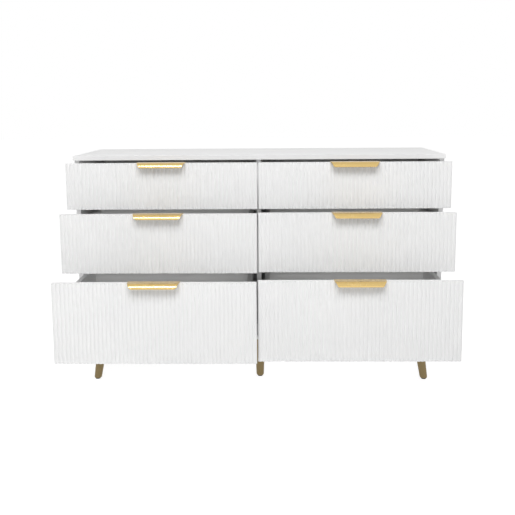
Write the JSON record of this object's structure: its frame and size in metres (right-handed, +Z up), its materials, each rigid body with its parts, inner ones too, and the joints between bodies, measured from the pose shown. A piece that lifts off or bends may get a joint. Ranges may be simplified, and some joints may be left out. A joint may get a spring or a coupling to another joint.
{
  "type": "dresser with drawers",
  "caption": "Wide low dresser: two columns of drawers with vertically reeded fronts, bent edge pulls and short tapered legs; every drawer slides on full-extension runners.",
  "frame": {"origin": "on the floor, at the middle of the space the dresser takes with its drawers pulled out as modelled", "axes": "+X to the right along the front, +Y from the drawer fronts to the back, +Z up"},
  "size_m": [1.2, 0.719, 0.762],
  "materials": {
    "lacquered_board": "white satin lacquer on wood-based board",
    "lacquered_front": "white satin lacquer on milled fibreboard",
    "brass": "brushed, satin",
    "thin_panel": "white foil on thin fibreboard",
    "zinc_hardware": "zinc plated screws and cam fittings",
    "black_plastic": "moulded glide",
    "runner_steel": "black electro-coat"
  },
  "bodies": {
    "cabinet": {"top_panel": "lacquered_board", "bottom_panel": "lacquered_board", "side_panel_left": "lacquered_board", "side_panel_right": "lacquered_board", "centre_divider": "lacquered_board", "back_panel": "thin_panel", "leg_front_left": "brass", "leg_front_centre": "brass", "leg_front_right": "brass", "leg_rear_left": "brass", "leg_rear_centre": "brass", "leg_rear_right": "brass"},
    "drawer_top_left": {"drawer_top_left_front": "lacquered_front", "drawer_top_left_pull": "brass", "drawer_top_left_side_left": "lacquered_board", "drawer_top_left_side_right": "lacquered_board", "drawer_top_left_back": "lacquered_board", "drawer_top_left_base": "thin_panel"},
    "runners_top_left": {"drawer_top_left_runner_left": "runner_steel", "drawer_top_left_runner_right": "runner_steel"},
    "drawer_top_right": {"drawer_top_right_front": "lacquered_front", "drawer_top_right_pull": "brass", "drawer_top_right_side_left": "lacquered_board", "drawer_top_right_side_right": "lacquered_board", "drawer_top_right_back": "lacquered_board", "drawer_top_right_base": "thin_panel"},
    "runners_top_right": {"drawer_top_right_runner_left": "runner_steel", "drawer_top_right_runner_right": "runner_steel"},
    "drawer_middle_left": {"drawer_middle_left_front": "lacquered_front", "drawer_middle_left_pull": "brass", "drawer_middle_left_side_left": "lacquered_board", "drawer_middle_left_side_right": "lacquered_board", "drawer_middle_left_back": "lacquered_board", "drawer_middle_left_base": "thin_panel"},
    "runners_middle_left": {"drawer_middle_left_runner_left": "runner_steel", "drawer_middle_left_runner_right": "runner_steel"},
    "drawer_middle_right": {"drawer_middle_right_front": "lacquered_front", "drawer_middle_right_pull": "brass", "drawer_middle_right_side_left": "lacquered_board", "drawer_middle_right_side_right": "lacquered_board", "drawer_middle_right_back": "lacquered_board", "drawer_middle_right_base": "thin_panel"},
    "runners_middle_right": {"drawer_middle_right_runner_left": "runner_steel", "drawer_middle_right_runner_right": "runner_steel"},
    "drawer_bottom_left": {"drawer_bottom_left_front": "lacquered_front", "drawer_bottom_left_pull": "brass", "drawer_bottom_left_side_left": "lacquered_board", "drawer_bottom_left_side_right": "lacquered_board", "drawer_bottom_left_back": "lacquered_board", "drawer_bottom_left_base": "thin_panel"},
    "runners_bottom_left": {"drawer_bottom_left_runner_left": "runner_steel", "drawer_bottom_left_runner_right": "runner_steel"},
    "drawer_bottom_right": {"drawer_bottom_right_front": "lacquered_front", "drawer_bottom_right_pull": "brass", "drawer_bottom_right_side_left": "lacquered_board", "drawer_bottom_right_side_right": "lacquered_board", "drawer_bottom_right_back": "lacquered_board", "drawer_bottom_right_base": "thin_panel"},
    "runners_bottom_right": {"drawer_bottom_right_runner_left": "runner_steel", "drawer_bottom_right_runner_right": "runner_steel"}
  },
  "joints": [
    {"name": "drawer_top_left_slide", "type": "slide", "parent": "cabinet", "child": "drawer_top_left", "axis": [0, -1, 0], "range_m": [-0.093, 0.257]},
    {"name": "runners_top_left_slide", "type": "slide", "parent": "cabinet", "child": "runners_top_left", "axis": [0, -1, 0], "range_m": [-0.0465, 0.1285]},
    {"name": "drawer_top_right_slide", "type": "slide", "parent": "cabinet", "child": "drawer_top_right", "axis": [0, -1, 0], "range_m": [-0.092, 0.258]},
    {"name": "runners_top_right_slide", "type": "slide", "parent": "cabinet", "child": "runners_top_right", "axis": [0, -1, 0], "range_m": [-0.046, 0.129]},
    {"name": "drawer_middle_left_slide", "type": "slide", "parent": "cabinet", "child": "drawer_middle_left", "axis": [0, -1, 0], "range_m": [-0.182, 0.168]},
    {"name": "runners_middle_left_slide", "type": "slide", "parent": "cabinet", "child": "runners_middle_left", "axis": [0, -1, 0], "range_m": [-0.091, 0.084]},
    {"name": "drawer_middle_right_slide", "type": "slide", "parent": "cabinet", "child": "drawer_middle_right", "axis": [0, -1, 0], "range_m": [-0.168, 0.182]},
    {"name": "runners_middle_right_slide", "type": "slide", "parent": "cabinet", "child": "runners_middle_right", "axis": [0, -1, 0], "range_m": [-0.084, 0.091]},
    {"name": "drawer_bottom_left_slide", "type": "slide", "parent": "cabinet", "child": "drawer_bottom_left", "axis": [0, -1, 0], "range_m": [-0.298, 0.052]},
    {"name": "runners_bottom_left_slide", "type": "slide", "parent": "cabinet", "child": "runners_bottom_left", "axis": [0, -1, 0], "range_m": [-0.149, 0.026]},
    {"name": "drawer_bottom_right_slide", "type": "slide", "parent": "cabinet", "child": "drawer_bottom_right", "axis": [0, -1, 0], "range_m": [-0.276, 0.074]},
    {"name": "runners_bottom_right_slide", "type": "slide", "parent": "cabinet", "child": "runners_bottom_right", "axis": [0, -1, 0], "range_m": [-0.138, 0.037]}
  ],
  "couplings": [
    {"joint": "runners_top_left_slide", "follows": "drawer_top_left_slide", "ratio": 0.5},
    {"joint": "runners_top_right_slide", "follows": "drawer_top_right_slide", "ratio": 0.5},
    {"joint": "runners_middle_left_slide", "follows": "drawer_middle_left_slide", "ratio": 0.5},
    {"joint": "runners_middle_right_slide", "follows": "drawer_middle_right_slide", "ratio": 0.5},
    {"joint": "runners_bottom_left_slide", "follows": "drawer_bottom_left_slide", "ratio": 0.5},
    {"joint": "runners_bottom_right_slide", "follows": "drawer_bottom_right_slide", "ratio": 0.5}
  ]
}
